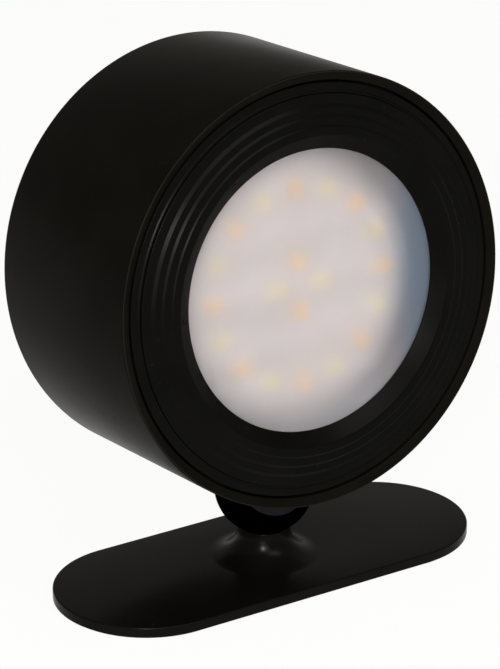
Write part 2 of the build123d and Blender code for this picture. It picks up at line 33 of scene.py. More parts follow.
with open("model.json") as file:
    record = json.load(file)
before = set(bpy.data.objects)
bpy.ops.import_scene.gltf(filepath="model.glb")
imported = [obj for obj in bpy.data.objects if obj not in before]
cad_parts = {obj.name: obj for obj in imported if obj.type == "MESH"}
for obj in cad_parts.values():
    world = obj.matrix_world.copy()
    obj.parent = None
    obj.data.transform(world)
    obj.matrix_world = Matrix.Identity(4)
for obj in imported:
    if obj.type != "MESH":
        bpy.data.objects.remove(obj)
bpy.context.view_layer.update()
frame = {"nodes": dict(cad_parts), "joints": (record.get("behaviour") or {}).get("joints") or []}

# Picture and camera. The camera was fitted to the photograph's outlines with every edge taken as
# sharp, and then its lens was made a little longer for the rounded edges.
image_height = 669
sensor_width_mm = 36.0
camera_azimuth = radians(-33.148)
camera_elevation = radians(22.328)
camera_distance = 0.74583
focal_pixels = 3531.0
aim_right = -0.00291
aim_up = 0.04817
camera_clip_start = 0.01

# Steps and tolerances of the modelling
turn_steps = 192
ring_steps = 256
plate_steps = 250
fine_steps = 96
screw_steps = 64
slot_steps = 50
flare_arc_steps = 40
ball_arc_steps = 96
stem_cup_arc_steps = 8
seat_cup_arc_steps = 12
corner_steps = 5
edge_steps = 3
near = 2e-6
merge_distance = 1e-6
start_size = 0.001
cut_overrun = 0.001
smooth_angle = radians(32)
bevel_angle = radians(40)
dome_smooth_angle = radians(60)

# Drum
crown_proud = 0.00035
rim_set_back = 0.00025
rim_slope_drop = 0.0011
rim_round = 0.00035
shell_wall = 0.00195
shell_back_round = 0.0012
flange_front = 0.005
flange_back = 0.0081
flange_inner_radius = 0.03755
seat_hole_radius = 0.0107
seat_hole_length = 0.02
seat_hole_inset = 0.009

# Face: stepped ring, trim band and disc
bezel_inner_radius = 0.0292
bezel_edge = 0.0003
bezel_cone_width = 0.003
bezel_lap = 0.0001
terrace_pitch = 0.00207
terrace_count = 4
riser_tilt = radians(35)
riser_first_drop = 0.00025
riser_drop_growth = 0.00012
riser_round = 0.00012
outer_round = 0.00026
crown_round = 0.0005
bezel_skirt = 0.0025
trim_gap = 0.00006
trim_bead_width = 0.00034
trim_bead_height = 0.00022
trim_bead_slope = 0.00025
trim_bead_round = 0.00006
trim_round = 0.00012
diffuser_round = 0.0002

# Painted shade and highlight on the head: distances from its axis, depths behind its front, and shares
board_rim_start = 0.0208
board_rim_end = 0.0283
board_rim_least = 0.5
shade_lean = 0.25
shade_start = 0.004
shade_full = 0.024
edge_shade_start = 0.0185
edge_shade_full = 0.0272
corner_highlight_start = 0.04465
corner_highlight_full = 0.04485
corner_highlight_depth = 0.0004
corner_highlight_depth_end = 0.0006

# Stick-on plate, ball and seat
stem_flare_radius = 0.0065
stem_rim_radius = 0.0055
stem_rim_round = 0.00012
stem_bore_radius = 0.0046
plate_edge_round = 0.00035
pad_edge_round = 0.00012
ball_gap = 0.00012
seat_room = 0.0001
seat_flange_thickness = 0.0012
seat_magnet_room = 0.0076
seat_edge_round = 0.0003

# Back cover and its screws
cover_chamfer = 0.0003
cover_thickness = 0.0022
touch_radius = 0.008
touch_dish = 0.00035
touch_round = 0.0003
screw_circle = 0.04005
screw_angles = (90, 210, 330)
screw_recess_radius = 0.00225
screw_recess_lip = 0.00015
screw_recess_flare = 0.00025
screw_recess_overrun = 0.0001
screw_head_radius = 0.0021
screw_head_height = 0.0013
screw_head_round = 0.00035
screw_sunk = 0.0002
screw_shank_radius = 0.0011
screw_tip_share = 0.6
screw_tip_length = 0.001
screw_first_turn = 25
screw_turn_growth = 40
cross_arm = 0.0026
cross_width = 0.0005
cross_depth = 0.0007
cross_arm_taper = 0.45
cross_width_taper = 0.6

# Charging port and status light
port_room = 0.0003
port_wall = 0.00035
port_depth = 0.0062
port_lip_round = 0.0001
tongue_width = 0.0067
tongue_thickness = 0.0007
tongue_set_back = 0.0008
tongue_round = 0.00015
contact_set_back = 0.0004
contact_count = 12
contact_pitch = 0.0005
contact_width = 0.00026
contact_proud = 0.00004
contact_length = 0.0036
pipe_radius = 0.00125
pipe_room = 0.0001
pipe_collar_thickness = 0.0006
pipe_dome = 0.00025
pipe_dome_profile = ((1, 1), (0.8, 0.45), (0.45, 0.1), (0, 0))

# Light. The floor and the sky are white where the camera sees them; the mirrored values say how
# much of that white a reflection shows.
floor_radius = 4
floor_sides = 128
floor_colour = (0.82, 0.81, 0.8, 1)
floor_own_white = 0.93
floor_mirrored = 0.7
white = (1, 1, 1, 1)
sky_colour = (1.0, 0.95, 0.86, 1)
sky_strength = 0.4
sky_mirrored = 0.06
lamp_aim_depth = 0.02
soft_white = (1.0, 0.98, 0.96)
warm_white = (1.0, 0.97, 0.93)

# The head's own upright frame: X across, Y as depth behind the face, Z up from the ball
ball_low, ball_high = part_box("pivot_ball")
ball_centre = (ball_low + ball_high) / 2
ball_radius = (ball_high.z - ball_low.z) / 2
spin_joint = [joint for joint in frame["joints"] if joint["name"] == "spin"][0]
nod = atan2(spin_joint["axis"][1], spin_joint["axis"][2])
ball_frame = Matrix.Translation(ball_centre) @ Matrix.Rotation(-nod, 4, "X")


def upright_box(node):
    # Lowest and highest corners of a head piece, measured in the head's upright frame.
    back = ball_frame.inverted()
    points = [back @ vertex.co for vertex in frame["nodes"][node].data.vertices]
    low = Vector([min(point[i] for point in points) for i in range(3)])
    high = Vector([max(point[i] for point in points) for i in range(3)])
    return low, high


shell_low, shell_high = upright_box("housing_shell")
head_radius = (shell_high.x - shell_low.x) / 2
axis_height = shell_high.z - head_radius
face_depth = upright_box("stepped_bezel")[0].y + crown_proud
head_frame = ball_frame @ Matrix.Translation((0, face_depth, axis_height))


def face_box(node):
    # The same box with the head's axis at zero height and the rim's plane at zero depth.
    low, high = upright_box(node)
    shift = Vector((0, face_depth, axis_height))
    return low - shift, high - shift


shell_back = face_box("housing_shell")[1].y
bezel_low, bezel_high = face_box("stepped_bezel")
trim_low, trim_high = face_box("trim_ring")
diffuser_low, diffuser_high = face_box("diffuser")
cover_low, cover_high = face_box("rear_cover")
seat_low, seat_high = face_box("seat_cup")
port_low, port_high = face_box("usb_c_socket")
pipe_low, pipe_high = face_box("light_pipe")
plate_low, plate_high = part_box("base_plate")
pad_low, pad_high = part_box("adhesive_pad")


# Modelling helpers

def deselect():
    if bpy.context.object and bpy.context.object.mode != "OBJECT":
        bpy.ops.object.mode_set(mode="OBJECT")
    bpy.ops.object.select_all(action="DESELECT")


def activate(piece):
    deselect()
    piece.select_set(True)
    bpy.context.view_layer.objects.active = piece


def edit(piece):
    activate(piece)
    bpy.ops.object.mode_set(mode="EDIT")


def pick(piece, kind, test):
    # In edit mode, selects the vertices or faces that pass the test, and nothing else.
    edit(piece)
    bpy.ops.mesh.select_mode(type="VERT" if kind == "vertices" else "FACE")
    bpy.ops.mesh.select_all(action="DESELECT")
    bpy.ops.object.mode_set(mode="OBJECT")
    for part in getattr(piece.data, kind if kind == "vertices" else "polygons"):
        part.select = test(part)
    bpy.ops.object.mode_set(mode="EDIT")


def place_mesh(piece, matrix):
    # Moves a finished piece to its place, and keeps the place in its mesh.
    activate(piece)
    piece.matrix_world = matrix @ piece.matrix_world
    bpy.ops.object.transform_apply(location=True, rotation=True, scale=True)


def clean(piece, outward=True):
    edit(piece)
    bpy.ops.mesh.select_all(action="SELECT")
    bpy.ops.mesh.remove_doubles(threshold=merge_distance)
    if outward:
        bpy.ops.mesh.normals_make_consistent(inside=False)
    activate(piece)


def smooth(piece, angle=smooth_angle):
    activate(piece)
    bpy.ops.object.shade_smooth_by_angle(angle=angle)


def turned(name, outline, upright=False, steps=turn_steps, closed=True):
    # Extrudes a vertex along an outline of (radius, place, round), rounds the corners that
    # ask for it, and spins it about the depth axis, or about the upright axis.
    corners = []
    for radius, place, corner_round in outline:
        spot = (radius, 0, place) if upright else (radius, place, 0)
        corners.append((Vector(spot), corner_round))
    deselect()
    bpy.ops.mesh.primitive_plane_add(size=start_size)
    piece = bpy.context.object
    piece.name = name
    bpy.ops.object.mode_set(mode="EDIT")
    bpy.ops.mesh.select_all(action="SELECT")
    bpy.ops.mesh.merge(type="CENTER")
    bpy.ops.transform.translate(value=corners[0][0])
    followed = corners[1:] + corners[:1] if closed else corners[1:]
    spot = corners[0][0]
    for next_spot, corner_round in followed:
        move = {"value": next_spot - spot}
        bpy.ops.mesh.extrude_vertices_move(TRANSFORM_OT_translate=move)
        spot = next_spot
    clean(piece, outward=False)
    count = len(corners)
    for number in range(count):
        spot, corner_round = corners[number]
        if corner_round > 0:
            before = (corners[number - 1][0] - spot).normalized()
            after = (corners[(number + 1) % count][0] - spot).normalized()
            cut = corner_round / tan(before.angle(after) / 2)
            pick(piece, "vertices", lambda vertex: (vertex.co - spot).length < near)
            bpy.ops.mesh.bevel(
                offset_type="OFFSET", offset=cut, segments=corner_steps, profile=0.5,
                affect="VERTICES", clamp_overlap=False,
            )
    edit(piece)
    bpy.ops.mesh.select_all(action="SELECT")
    axis = (0, 0, 1) if upright else (0, 1, 0)
    bpy.ops.mesh.spin(steps=steps, angle=2 * pi, center=(0, 0, 0), axis=axis)
    clean(piece)
    return piece


def arc(centre_radius, centre_place, radius, start, end, steps):
    # Outline corners along an arc, with angles from the outward direction.
    points = []
    for step in range(steps + 1):
        angle = start + (end - start) * step / steps
        points.append((centre_radius + radius * cos(angle), centre_place + radius * sin(angle), 0))
    return points


def stretch(piece, beyond, length):
    # Pulls the two halves of a turned disc apart into a bar with round ends.
    for side in (-1, 1):
        pick(
            piece, "vertices",
            lambda vertex: vertex.co.x * side > 0 and vertex.co.xy.length > beyond,
        )
        bpy.ops.transform.translate(value=(side * length / 2, 0, 0))
    activate(piece)


def cut_out(piece, cutter):
    # Takes the cutter's shape out of the piece and deletes the cutter.
    activate(piece)
    modifier = piece.modifiers.new("cut", "BOOLEAN")
    modifier.operation = "DIFFERENCE"
    modifier.solver = "EXACT"
    modifier.object = cutter
    bpy.ops.object.modifier_apply(modifier="cut")
    bpy.data.objects.remove(cutter, do_unlink=True)


def join(name, pieces):
    deselect()
    for piece in pieces:
        piece.select_set(True)
    bpy.context.view_layer.objects.active = pieces[0]
    bpy.ops.object.join()
    pieces[0].name = name
    return pieces[0]


def duplicate(piece):
    twin = piece.copy()
    twin.data = piece.data.copy()
    bpy.context.collection.objects.link(twin)
    return twin


def rod(name, radius, front, back, z=0):
    # A plain rod along the depth, used to cut with.
    deselect()
    bpy.ops.mesh.primitive_cylinder_add(
        vertices=fine_steps, radius=radius, depth=back - front,
        location=(0, (front + back) / 2, z), rotation=(pi / 2, 0, 0),
    )
    piece = bpy.context.object
    piece.name = name
    bpy.ops.object.transform_apply(location=True, rotation=True, scale=True)
    return piece


def block(name, low, high):
    deselect()
    bpy.ops.mesh.primitive_cube_add(size=1, location=(Vector(low) + Vector(high)) / 2)
    piece = bpy.context.object
    piece.name = name
    piece.scale = Vector(high) - Vector(low)
    bpy.ops.object.transform_apply(location=True, rotation=True, scale=True)
    return piece


def bevel_edges(piece, width):
    activate(piece)
    modifier = piece.modifiers.new("edges", "BEVEL")
    modifier.width = width
    modifier.segments = edge_steps
    modifier.limit_method = "ANGLE"
    modifier.angle_limit = bevel_angle
    modifier.harden_normals = False
    bpy.ops.object.modifier_apply(modifier="edges")


# Camera

def look_at(place, target):
    away = (place - target).normalized()
    right = Vector((0, 0, 1)).cross(away).normalized()
    up = away.cross(right)
    return Matrix((right, up, away)).transposed().to_4x4()


def set_camera():
    back = Vector((
        sin(camera_azimuth) * cos(camera_elevation),
        -cos(camera_azimuth) * cos(camera_elevation),
        sin(camera_elevation),
    ))
    right = Vector((0, 0, 1)).cross(back).normalized()
    up = back.cross(right)
    target = right * aim_right + up * aim_up
    bpy.ops.object.camera_add()
    camera = bpy.context.object
    camera.name = "photo_camera"
    place = target + back * camera_distance
    camera.matrix_world = Matrix.Translation(place) @ look_at(place, target)
    camera.data.sensor_width = sensor_width_mm
    camera.data.lens = focal_pixels / image_height * sensor_width_mm
    camera.data.clip_start = camera_clip_start
    bpy.context.scene.camera = camera


set_camera()
bpy.context.scene.view_settings.view_transform = "Standard"


# Materials: shared effects as node groups

def tone(red, green, blue):
    # A colour as seen on screen, 0 to 255, turned into a linear one.
    parts = []
    for part in (red, green, blue):
        part = part / 255
        parts.append(part / 12.92 if part <= 0.04045 else ((part + 0.055) / 1.055) ** 2.4)
    return (*parts, 1)


def add_node(tree, kind, **settings):
    node = tree.nodes.new(kind)
    for key, value in settings.items():
        setattr(node, key, value)
    return node


def wire(tree, source, target):
    tree.links.new(source, target)


def feed(tree, socket, value):
    # Links a socket to another, or sets its value.
    if isinstance(value, bpy.types.NodeSocket):
        wire(tree, value, socket)
    else:
        socket.default_value = value


def calc(tree, operation, first, second=0.0, third=0.0):
    node = add_node(tree, "ShaderNodeMath", operation=operation)
    feed(tree, node.inputs[0], first)
    feed(tree, node.inputs[1], second)
    feed(tree, node.inputs[2], third)
    return node.outputs[0]


def spread(tree, value, low, high, new_low=0.0, new_high=1.0):
    # Maps a value from one range to another, with soft ends.
    node = add_node(tree, "ShaderNodeMapRange", interpolation_type="SMOOTHSTEP")
    feed(tree, node.inputs["Value"], value)
    feed(tree, node.inputs["From Min"], low)
    feed(tree, node.inputs["From Max"], high)
    feed(tree, node.inputs["To Min"], new_low)
    feed(tree, node.inputs["To Max"], new_high)
    return node.outputs["Result"]


def blend_colour(tree, amount, first, second):
    node = add_node(tree, "ShaderNodeMix", data_type="RGBA")
    low, high = [socket for socket in node.inputs if socket.type == "RGBA"]
    feed(tree, node.inputs[0], amount)
    feed(tree, low, first)
    feed(tree, high, second)
    return [socket for socket in node.outputs if socket.type == "RGBA"][0]


def new_group(name, inputs, outputs):
    group = bpy.data.node_groups.new(name, "ShaderNodeTree")
    for label, kind, value in inputs:
        socket = group.interface.new_socket(label, in_out="INPUT", socket_type=kind)
        if value is not None:
            socket.default_value = value
    for label, kind in outputs:
        group.interface.new_socket(label, in_out="OUTPUT", socket_type=kind)
    enter = group.nodes.new("NodeGroupInput")
    leave = group.nodes.new("NodeGroupOutput")
    return group, enter.outputs, leave.inputs


def noise(tree, place, scale, detail=2.0, roughness=0.5):
    node = add_node(tree, "ShaderNodeTexNoise")
    feed(tree, node.inputs["Vector"], place)
    feed(tree, node.inputs["Scale"], scale)
    node.inputs["Detail"].default_value = detail
    node.inputs["Roughness"].default_value = roughness
    return node.outputs["Fac"]


def make_grain_group():
    # The fine sparked texture of a moulding: height for the bump, and a mottled tone.
    group, given, out = new_group(
        "moulded_grain",
        [("Place", "NodeSocketVector", None), ("Scale", "NodeSocketFloat", 3000.0)],
        [("Height", "NodeSocketFloat"), ("Mottle", "NodeSocketFloat")],
    )
    pit_scale = 0.6
    pit_share = 0.4
    mottle_scale = 0.02
    fine = noise(group, given["Place"], given["Scale"], detail=3.0, roughness=0.6)
    pits = add_node(group, "ShaderNodeTexVoronoi")
    feed(group, pits.inputs["Vector"], given["Place"])
    feed(group, pits.inputs["Scale"], calc(group, "MULTIPLY", given["Scale"], pit_scale))
    pit_height = spread(group, pits.outputs["Distance"], low=0.0, high=0.7)
    fine_height = calc(group, "MULTIPLY", fine, 1 - pit_share)
    feed(group, out["Height"], calc(group, "MULTIPLY_ADD", pit_height, pit_share, fine_height))
    coarse_scale = calc(group, "MULTIPLY", given["Scale"], mottle_scale)
    coarse = noise(group, given["Place"], coarse_scale, detail=3.0)
    feed(group, out["Mottle"], spread(group, coarse, low=0.3, high=0.7))
    return group


def make_handling_group():
    # What use leaves on a surface: broad smears of touch, hairline rubs and a few dust specks.
    group, given, out = new_group(
        "handling",
        [("Place", "NodeSocketVector", None)],
        [("Smear", "NodeSocketFloat"), ("Rub", "NodeSocketFloat"), ("Dust", "NodeSocketFloat")],
    )
    broad = noise(group, given["Place"], scale=55.0, detail=3.0, roughness=0.55)
    patchy = noise(group, given["Place"], scale=420.0, detail=4.0, roughness=0.65)
    broad_mask = spread(group, broad, low=0.45, high=0.72)
    patchy_mask = spread(group, patchy, low=0.3, high=0.75)
    feed(group, out["Smear"], calc(group, "MULTIPLY", broad_mask, patchy_mask))
    squeeze = add_node(group, "ShaderNodeMapping")
    squeeze.inputs["Scale"].default_value = (90.0, 2600.0, 1100.0)
    squeeze.inputs["Rotation"].default_value = (0.5, 0.35, 0.9)
    feed(group, squeeze.inputs["Vector"], given["Place"])
    hairs = noise(group, squeeze.outputs["Vector"], scale=1.0, detail=1.0)
    feed(group, out["Rub"], spread(group, hairs, low=0.68, high=0.8))
    # A speck is the middle of a cell, and only few cells have one.
    cells_without = 0.93
    specks = add_node(group, "ShaderNodeTexVoronoi")
    feed(group, specks.inputs["Vector"], given["Place"])
    specks.inputs["Scale"].default_value = 700.0
    dot = spread(group, specks.outputs["Distance"], low=0.12, high=0.05)
    tell = add_node(group, "ShaderNodeSeparateColor")
    feed(group, tell.inputs["Color"], specks.outputs["Color"])
    rare = calc(group, "GREATER_THAN", tell.outputs[0], cells_without)
    feed(group, out["Dust"], calc(group, "MULTIPLY", dot, rare))
    return group


def make_head_place_group():
    # Where a point lies on the lamp's head: to the right, up, deep and out from its axis.
    group, given, out = new_group(
        "head_place",
        [("Place", "NodeSocketVector", None)],
        [(label, "NodeSocketFloat") for label in ("Right", "Depth", "Up", "Radius")],
    )
    offset = add_node(group, "ShaderNodeVectorMath", operation="SUBTRACT")
    feed(group, offset.inputs[0], given["Place"])
    feed(group, offset.inputs[1], head_frame.translation)
    parts = []
    for axis in head_frame.to_3x3().transposed():
        along = add_node(group, "ShaderNodeVectorMath", operation="DOT_PRODUCT")
        feed(group, along.inputs[0], offset.outputs["Vector"])
        feed(group, along.inputs[1], axis)
        parts.append(along.outputs["Value"])
    squares = [calc(group, "MULTIPLY", part, part) for part in (parts[0], parts[2])]
    feed(group, out["Radius"], calc(group, "SQRT", calc(group, "ADD", squares[0], squares[1])))
    for label, part in zip(("Right", "Depth", "Up"), parts):
        feed(group, out[label], part)
    return group


grain_group = make_grain_group()
handling_group = make_handling_group()
head_place_group = make_head_place_group()


def use_group(tree, group, **values):
    node = add_node(tree, "ShaderNodeGroup", node_tree=group)
    for label, value in values.items():
        feed(tree, node.inputs[label], value)
    return node.outputs


def new_material(name):
    material = bpy.data.materials.new(name)
    material.use_nodes = True
    tree = material.node_tree
    tree.nodes.clear()
    shader = add_node(tree, "ShaderNodeBsdfPrincipled")
    output = add_node(tree, "ShaderNodeOutputMaterial")
    wire(tree, shader.outputs["BSDF"], output.inputs["Surface"])
    place = add_node(tree, "ShaderNodeTexCoord").outputs["Object"]
    return material, tree, shader, place


def bump(tree, height, depth):
    node = add_node(tree, "ShaderNodeBump")
    node.inputs["Strength"].default_value = 1.0
    node.inputs["Distance"].default_value = depth
    feed(tree, node.inputs["Height"], height)
    return node.outputs["Normal"]


dust_tone = tone(150, 146, 138)


def finish(
    name, low, high, roughness, specular=0.5, metallic=0.0, grain_scale=3000.0, grain_depth=0.000008,
    smear=0.06, rub=0.03, dust=0.15, edge_tint=1.0,
):
    # A solid surface: mottled colour between two tones, moulded or cast grain, touch and dust.
    material, tree, shader, place = new_material(name)
    grain = use_group(tree, grain_group, Place=place, Scale=grain_scale)
    marks = use_group(tree, handling_group, Place=place)
    colour = blend_colour(tree, grain["Mottle"], low, high)
    colour = blend_colour(tree, calc(tree, "MULTIPLY", marks["Dust"], dust), colour, dust_tone)
    wire(tree, colour, shader.inputs["Base Color"])
    worn = calc(tree, "MULTIPLY_ADD", marks["Smear"], smear, roughness)
    wire(tree, calc(tree, "MULTIPLY_ADD", marks["Rub"], -rub, worn), shader.inputs["Roughness"])
    wire(tree, bump(tree, grain["Height"], grain_depth), shader.inputs["Normal"])
    shader.inputs["Metallic"].default_value = metallic
    shader.inputs["Specular IOR Level"].default_value = specular
    shader.inputs["Specular Tint"].default_value = (edge_tint, edge_tint, edge_tint, 1)
    return material


def overlay(material, colour, make_mask):
    # Lays a colour over a finish where a mask made from the place on the head is high; below it paints
    # shade and a highlight.
    tree = material.node_tree
    shader = [node for node in tree.nodes if node.type == "BSDF_PRINCIPLED"][0]
    place = [node for node in tree.nodes if node.type == "TEX_COORD"][0].outputs["Object"]
    mask = make_mask(tree, use_group(tree, head_place_group, Place=place))
    under = shader.inputs["Base Color"].links[0].from_socket
    wire(tree, blend_colour(tree, mask, under, colour), shader.inputs["Base Color"])


def painted_corner_highlight(tree, spot):
    # Painted highlight: the drum's front corner is painted a little lighter than its sides, in place of
    # the light caught by its rounded edge.
    outward = spread(tree, spot["Radius"], corner_highlight_start, corner_highlight_full)
    forward = spread(tree, spot["Depth"], corner_highlight_depth_end, corner_highlight_depth)
    return calc(tree, "MULTIPLY", outward, forward)


def painted_side_shade(tree, spot):
    # Painted shade: the light chamber is painted darkest on its right, where little light reaches it.
    toward = calc(tree, "MULTIPLY_ADD", spot["Up"], shade_lean, spot["Right"])
    return spread(tree, toward, shade_start, shade_full)


def painted_rim_shade(tree, spot):
    # Painted shade: the lamp board is painted darker near the chamber's wall, and most of all on the
    # right.
    rim = spread(tree, spot["Radius"], board_rim_start, board_rim_end)
    growth = 1 - board_rim_least
    side = calc(tree, "MULTIPLY_ADD", painted_side_shade(tree, spot), growth, board_rim_least)
    return calc(tree, "MULTIPLY", rim, side)


def painted_edge_shade(tree, spot):
    # Painted shade: the disc's right edge is painted cooler and darker than its middle.
    return spread(tree, spot["Right"], edge_shade_start, edge_shade_full)


shell_black = finish(
    "shell_black_moulded", tone(10, 9, 7), tone(13, 12, 9), 0.28, specular=0.012,
    grain_scale=3600.0, grain_depth=0.000007, dust=0.05,
)
# Painted highlight along the drum's front corner.
overlay(shell_black, tone(38, 36, 31), painted_corner_highlight)
cover_black = finish(
    "cover_black_moulded", tone(13, 12, 10), tone(16, 15, 13), 0.5, specular=0.04,
    grain_scale=2600.0, grain_depth=0.00001,
)
bezel_black = finish(
    "bezel_black_satin", tone(5, 5, 4), tone(7, 7, 6), 0.27, specular=0.032,
    grain_scale=4200.0, grain_depth=0.000003, dust=0.04,
)
plate_black = finish(
    "plate_black_coat", tone(8, 7, 6), tone(11, 10, 9), 0.23, specular=0.045,
    grain_scale=2200.0, grain_depth=0.000004, dust=0.08,
)
ball_black = finish(
    "ball_black_polished", tone(28, 28, 31), tone(34, 34, 37), 0.06, metallic=1.0, edge_tint=0.09,
    grain_scale=900.0, grain_depth=0.0000003, smear=0.08, rub=0.02, dust=0.1,
)
cup_black = finish(
    "cup_black_slippery", tone(8, 8, 8), tone(11, 11, 11), 0.25, specular=0.03,
    grain_scale=3000.0, grain_depth=0.000004,
)
pad_grey = finish(
    "pad_foam_grey", tone(32, 32, 32), tone(44, 43, 42), 0.85, specular=0.2,
    grain_scale=1500.0, grain_depth=0.00006,
)
magnet_nickel = finish(
    "magnet_nickel", tone(196, 196, 198), tone(212, 211, 210), 0.2, metallic=1.0,
    grain_scale=1800.0, grain_depth=0.000001, smear=0.15, rub=0.08,
)
keeper_steel = finish(
    "keeper_steel", tone(168, 168, 170), tone(190, 190, 190), 0.36, metallic=1.0,
    grain_scale=1400.0, grain_depth=0.000003, smear=0.12, rub=0.1,
)
tape_black = finish(
    "tape_black", tone(14, 14, 14), tone(20, 20, 20), 0.7, specular=0.1,
    grain_scale=1400.0, grain_depth=0.00002,
)
chamber_grey = finish(
    "chamber_grey", tone(116, 124, 130), tone(126, 134, 140), 0.5, specular=0.15,
    grain_scale=2600.0, grain_depth=0.000004,
)
# Painted shade on the chamber's right side.
overlay(chamber_grey, tone(8, 16, 38), painted_side_shade)
frame_grey = finish(
    "frame_grey_moulded", tone(82, 83, 85), tone(94, 95, 97), 0.5, specular=0.4,
    grain_scale=2600.0, grain_depth=0.00001,
)
screw_black = finish(
    "screw_black_oxide", tone(24, 23, 23), tone(38, 36, 36), 0.36, metallic=0.9,
    grain_scale=2600.0, grain_depth=0.000004, smear=0.1, rub=0.12,
)
screw_steel = finish(
    "screw_zinc", tone(170, 172, 176), tone(196, 197, 198), 0.3, metallic=1.0,
    grain_scale=2200.0, grain_depth=0.000003, smear=0.12, rub=0.1,
)
cell_wrap = finish(
    "cell_wrap_blue", tone(34, 74, 132), tone(44, 88, 150), 0.28, specular=0.5,
    grain_scale=700.0, grain_depth=0.00001,
)
foam_grey = finish(
    "foam_grey", tone(64, 64, 66), tone(92, 92, 94), 0.95, specular=0.1,
    grain_scale=1200.0, grain_depth=0.00012,
)
wire_red = finish("wire_red", tone(150, 24, 20), tone(172, 34, 28), 0.42, grain_scale=1600.0)
wire_black = finish("wire_black", tone(22, 22, 22), tone(32, 32, 32), 0.42, grain_scale=1600.0)
wire_white = finish("wire_white", tone(220, 220, 216), tone(232, 232, 228), 0.45, grain_scale=1600.0)
component_black = finish(
    "component_black", tone(26, 26, 27), tone(38, 38, 40), 0.5, specular=0.4, grain_scale=4200.0,
)
plug_white = finish("plug_white", tone(224, 220, 208), tone(236, 232, 222), 0.48, grain_scale=2600.0)
foil_copper = finish(
    "foil_copper", tone(196, 120, 84), tone(214, 142, 104), 0.3, metallic=1.0,
    grain_scale=900.0, grain_depth=0.00001, smear=0.2,
)
port_steel = finish(
    "port_steel", tone(176, 176, 178), tone(196, 196, 198), 0.24, metallic=1.0,
    grain_scale=2600.0, grain_depth=0.000001, smear=0.12, rub=0.08,
)
contact_gold = finish(
    "contact_gold", tone(206, 166, 86), tone(222, 186, 108), 0.25, metallic=1.0, grain_scale=2600.0,
)


def board_finish(name, low, high, copper_tone, roughness):
    # A printed board: solder mask with the faint copper runs under it.
    copper_share = 0.5
    mottle_roughness = 0.08
    run_height = 0.00002
    material, tree, shader, place = new_material(name)
    runs = add_node(tree, "ShaderNodeTexBrick")
    feed(tree, runs.inputs["Vector"], place)
    runs.inputs["Scale"].default_value = 260.0
    runs.inputs["Mortar Size"].default_value = 0.06
    mask = calc(tree, "MULTIPLY", runs.outputs["Fac"], copper_share)
    grain = use_group(tree, grain_group, Place=place, Scale=2400.0)
    colour = blend_colour(tree, grain["Mottle"], low, high)
    wire(tree, blend_colour(tree, mask, colour, copper_tone), shader.inputs["Base Color"])
    worn = calc(tree, "MULTIPLY_ADD", grain["Mottle"], mottle_roughness, roughness)
    wire(tree, worn, shader.inputs["Roughness"])
    wire(tree, bump(tree, mask, run_height), shader.inputs["Normal"])
    return material


board_green = board_finish(
    "board_green", tone(20, 82, 48), tone(28, 96, 58), tone(46, 124, 80), 0.32,
)
led_board_white = board_finish(
    "led_board_white", tone(232, 232, 228), tone(242, 242, 240), tone(216, 216, 208), 0.3,
)
# Painted shade on the lamp board near the chamber's wall.
overlay(led_board_white, tone(30, 46, 60), painted_rim_shade)


def lamp_chip_finish(name, phosphor_low, phosphor_high):
    # A lamp chip that is off: its yellow phosphor under clear resin.
    material, tree, shader, place = new_material(name)
    cells = noise(tree, place, scale=2500.0)
    wire(tree, blend_colour(tree, cells, phosphor_low, phosphor_high), shader.inputs["Base Color"])
    gloss = spread(tree, cells, low=0.3, high=0.7, new_low=0.22, new_high=0.34)
    wire(tree, gloss, shader.inputs["Roughness"])
    return material


led_warm = lamp_chip_finish("lamp_warm", tone(255, 212, 146), tone(255, 220, 158))
led_cool = lamp_chip_finish("lamp_cool", tone(248, 240, 178), tone(252, 246, 190))


def frosted_finish():
    # Milky plastic: part of the light scatters in it and part goes through blurred, so the lamps
    # behind it show as faint spots. The studio's light passes it too, and reaches those lamps.
    smooth_roughness = 0.58
    smear_roughness = 0.05
    grain_height = 0.000003
    material, tree, shader, place = new_material("diffuser_frosted")
    grain = use_group(tree, grain_group, Place=place, Scale=5200.0)
    marks = use_group(tree, handling_group, Place=place)
    colour = blend_colour(tree, grain["Mottle"], tone(194, 190, 192), tone(198, 194, 196))
    wire(tree, colour, shader.inputs["Base Color"])
    worn = calc(tree, "MULTIPLY_ADD", marks["Smear"], smear_roughness, smooth_roughness)
    wire(tree, worn, shader.inputs["Roughness"])
    wire(tree, bump(tree, grain["Height"], grain_height), shader.inputs["Normal"])
    shader.inputs["Specular IOR Level"].default_value = 0.3
    shader.inputs["Transmission Weight"].default_value = 0.87
    shader.inputs["IOR"].default_value = 1.3
    passing = add_node(tree, "ShaderNodeBsdfTransparent")
    passing.inputs["Color"].default_value = (0.6, 0.6, 0.6, 1)
    light_path = add_node(tree, "ShaderNodeLightPath")
    mixed = add_node(tree, "ShaderNodeMixShader")
    wire(tree, light_path.outputs["Is Shadow Ray"], mixed.inputs["Fac"])
    wire(tree, shader.outputs[0], mixed.inputs[1])
    wire(tree, passing.outputs[0], mixed.inputs[2])
    output = [node for node in tree.nodes if node.type == "OUTPUT_MATERIAL"][0]
    wire(tree, mixed.outputs[0], output.inputs["Surface"])
    return material


diffuser_frosted = frosted_finish()
# Painted shade along the disc's right edge.
overlay(diffuser_frosted, tone(166, 180, 196), painted_edge_shade)


def pipe_finish():
    # The clear plastic of the status light, a little cloudy.
    material, tree, shader, place = new_material("pipe_clear")
    cloud = noise(tree, place, scale=900.0)
    gloss = spread(tree, cloud, low=0.3, high=0.7, new_low=0.08, new_high=0.16)
    wire(tree, gloss, shader.inputs["Roughness"])
    tint = blend_colour(tree, cloud, tone(232, 236, 236), tone(244, 246, 246))
    wire(tree, tint, shader.inputs["Base Color"])
    shader.inputs["Transmission Weight"].default_value = 0.85
    shader.inputs["IOR"].default_value = 1.49
    return material


pipe_clear = pipe_finish()


def paint(piece, material):
    piece.data.materials.clear()
    piece.data.materials.append(material)


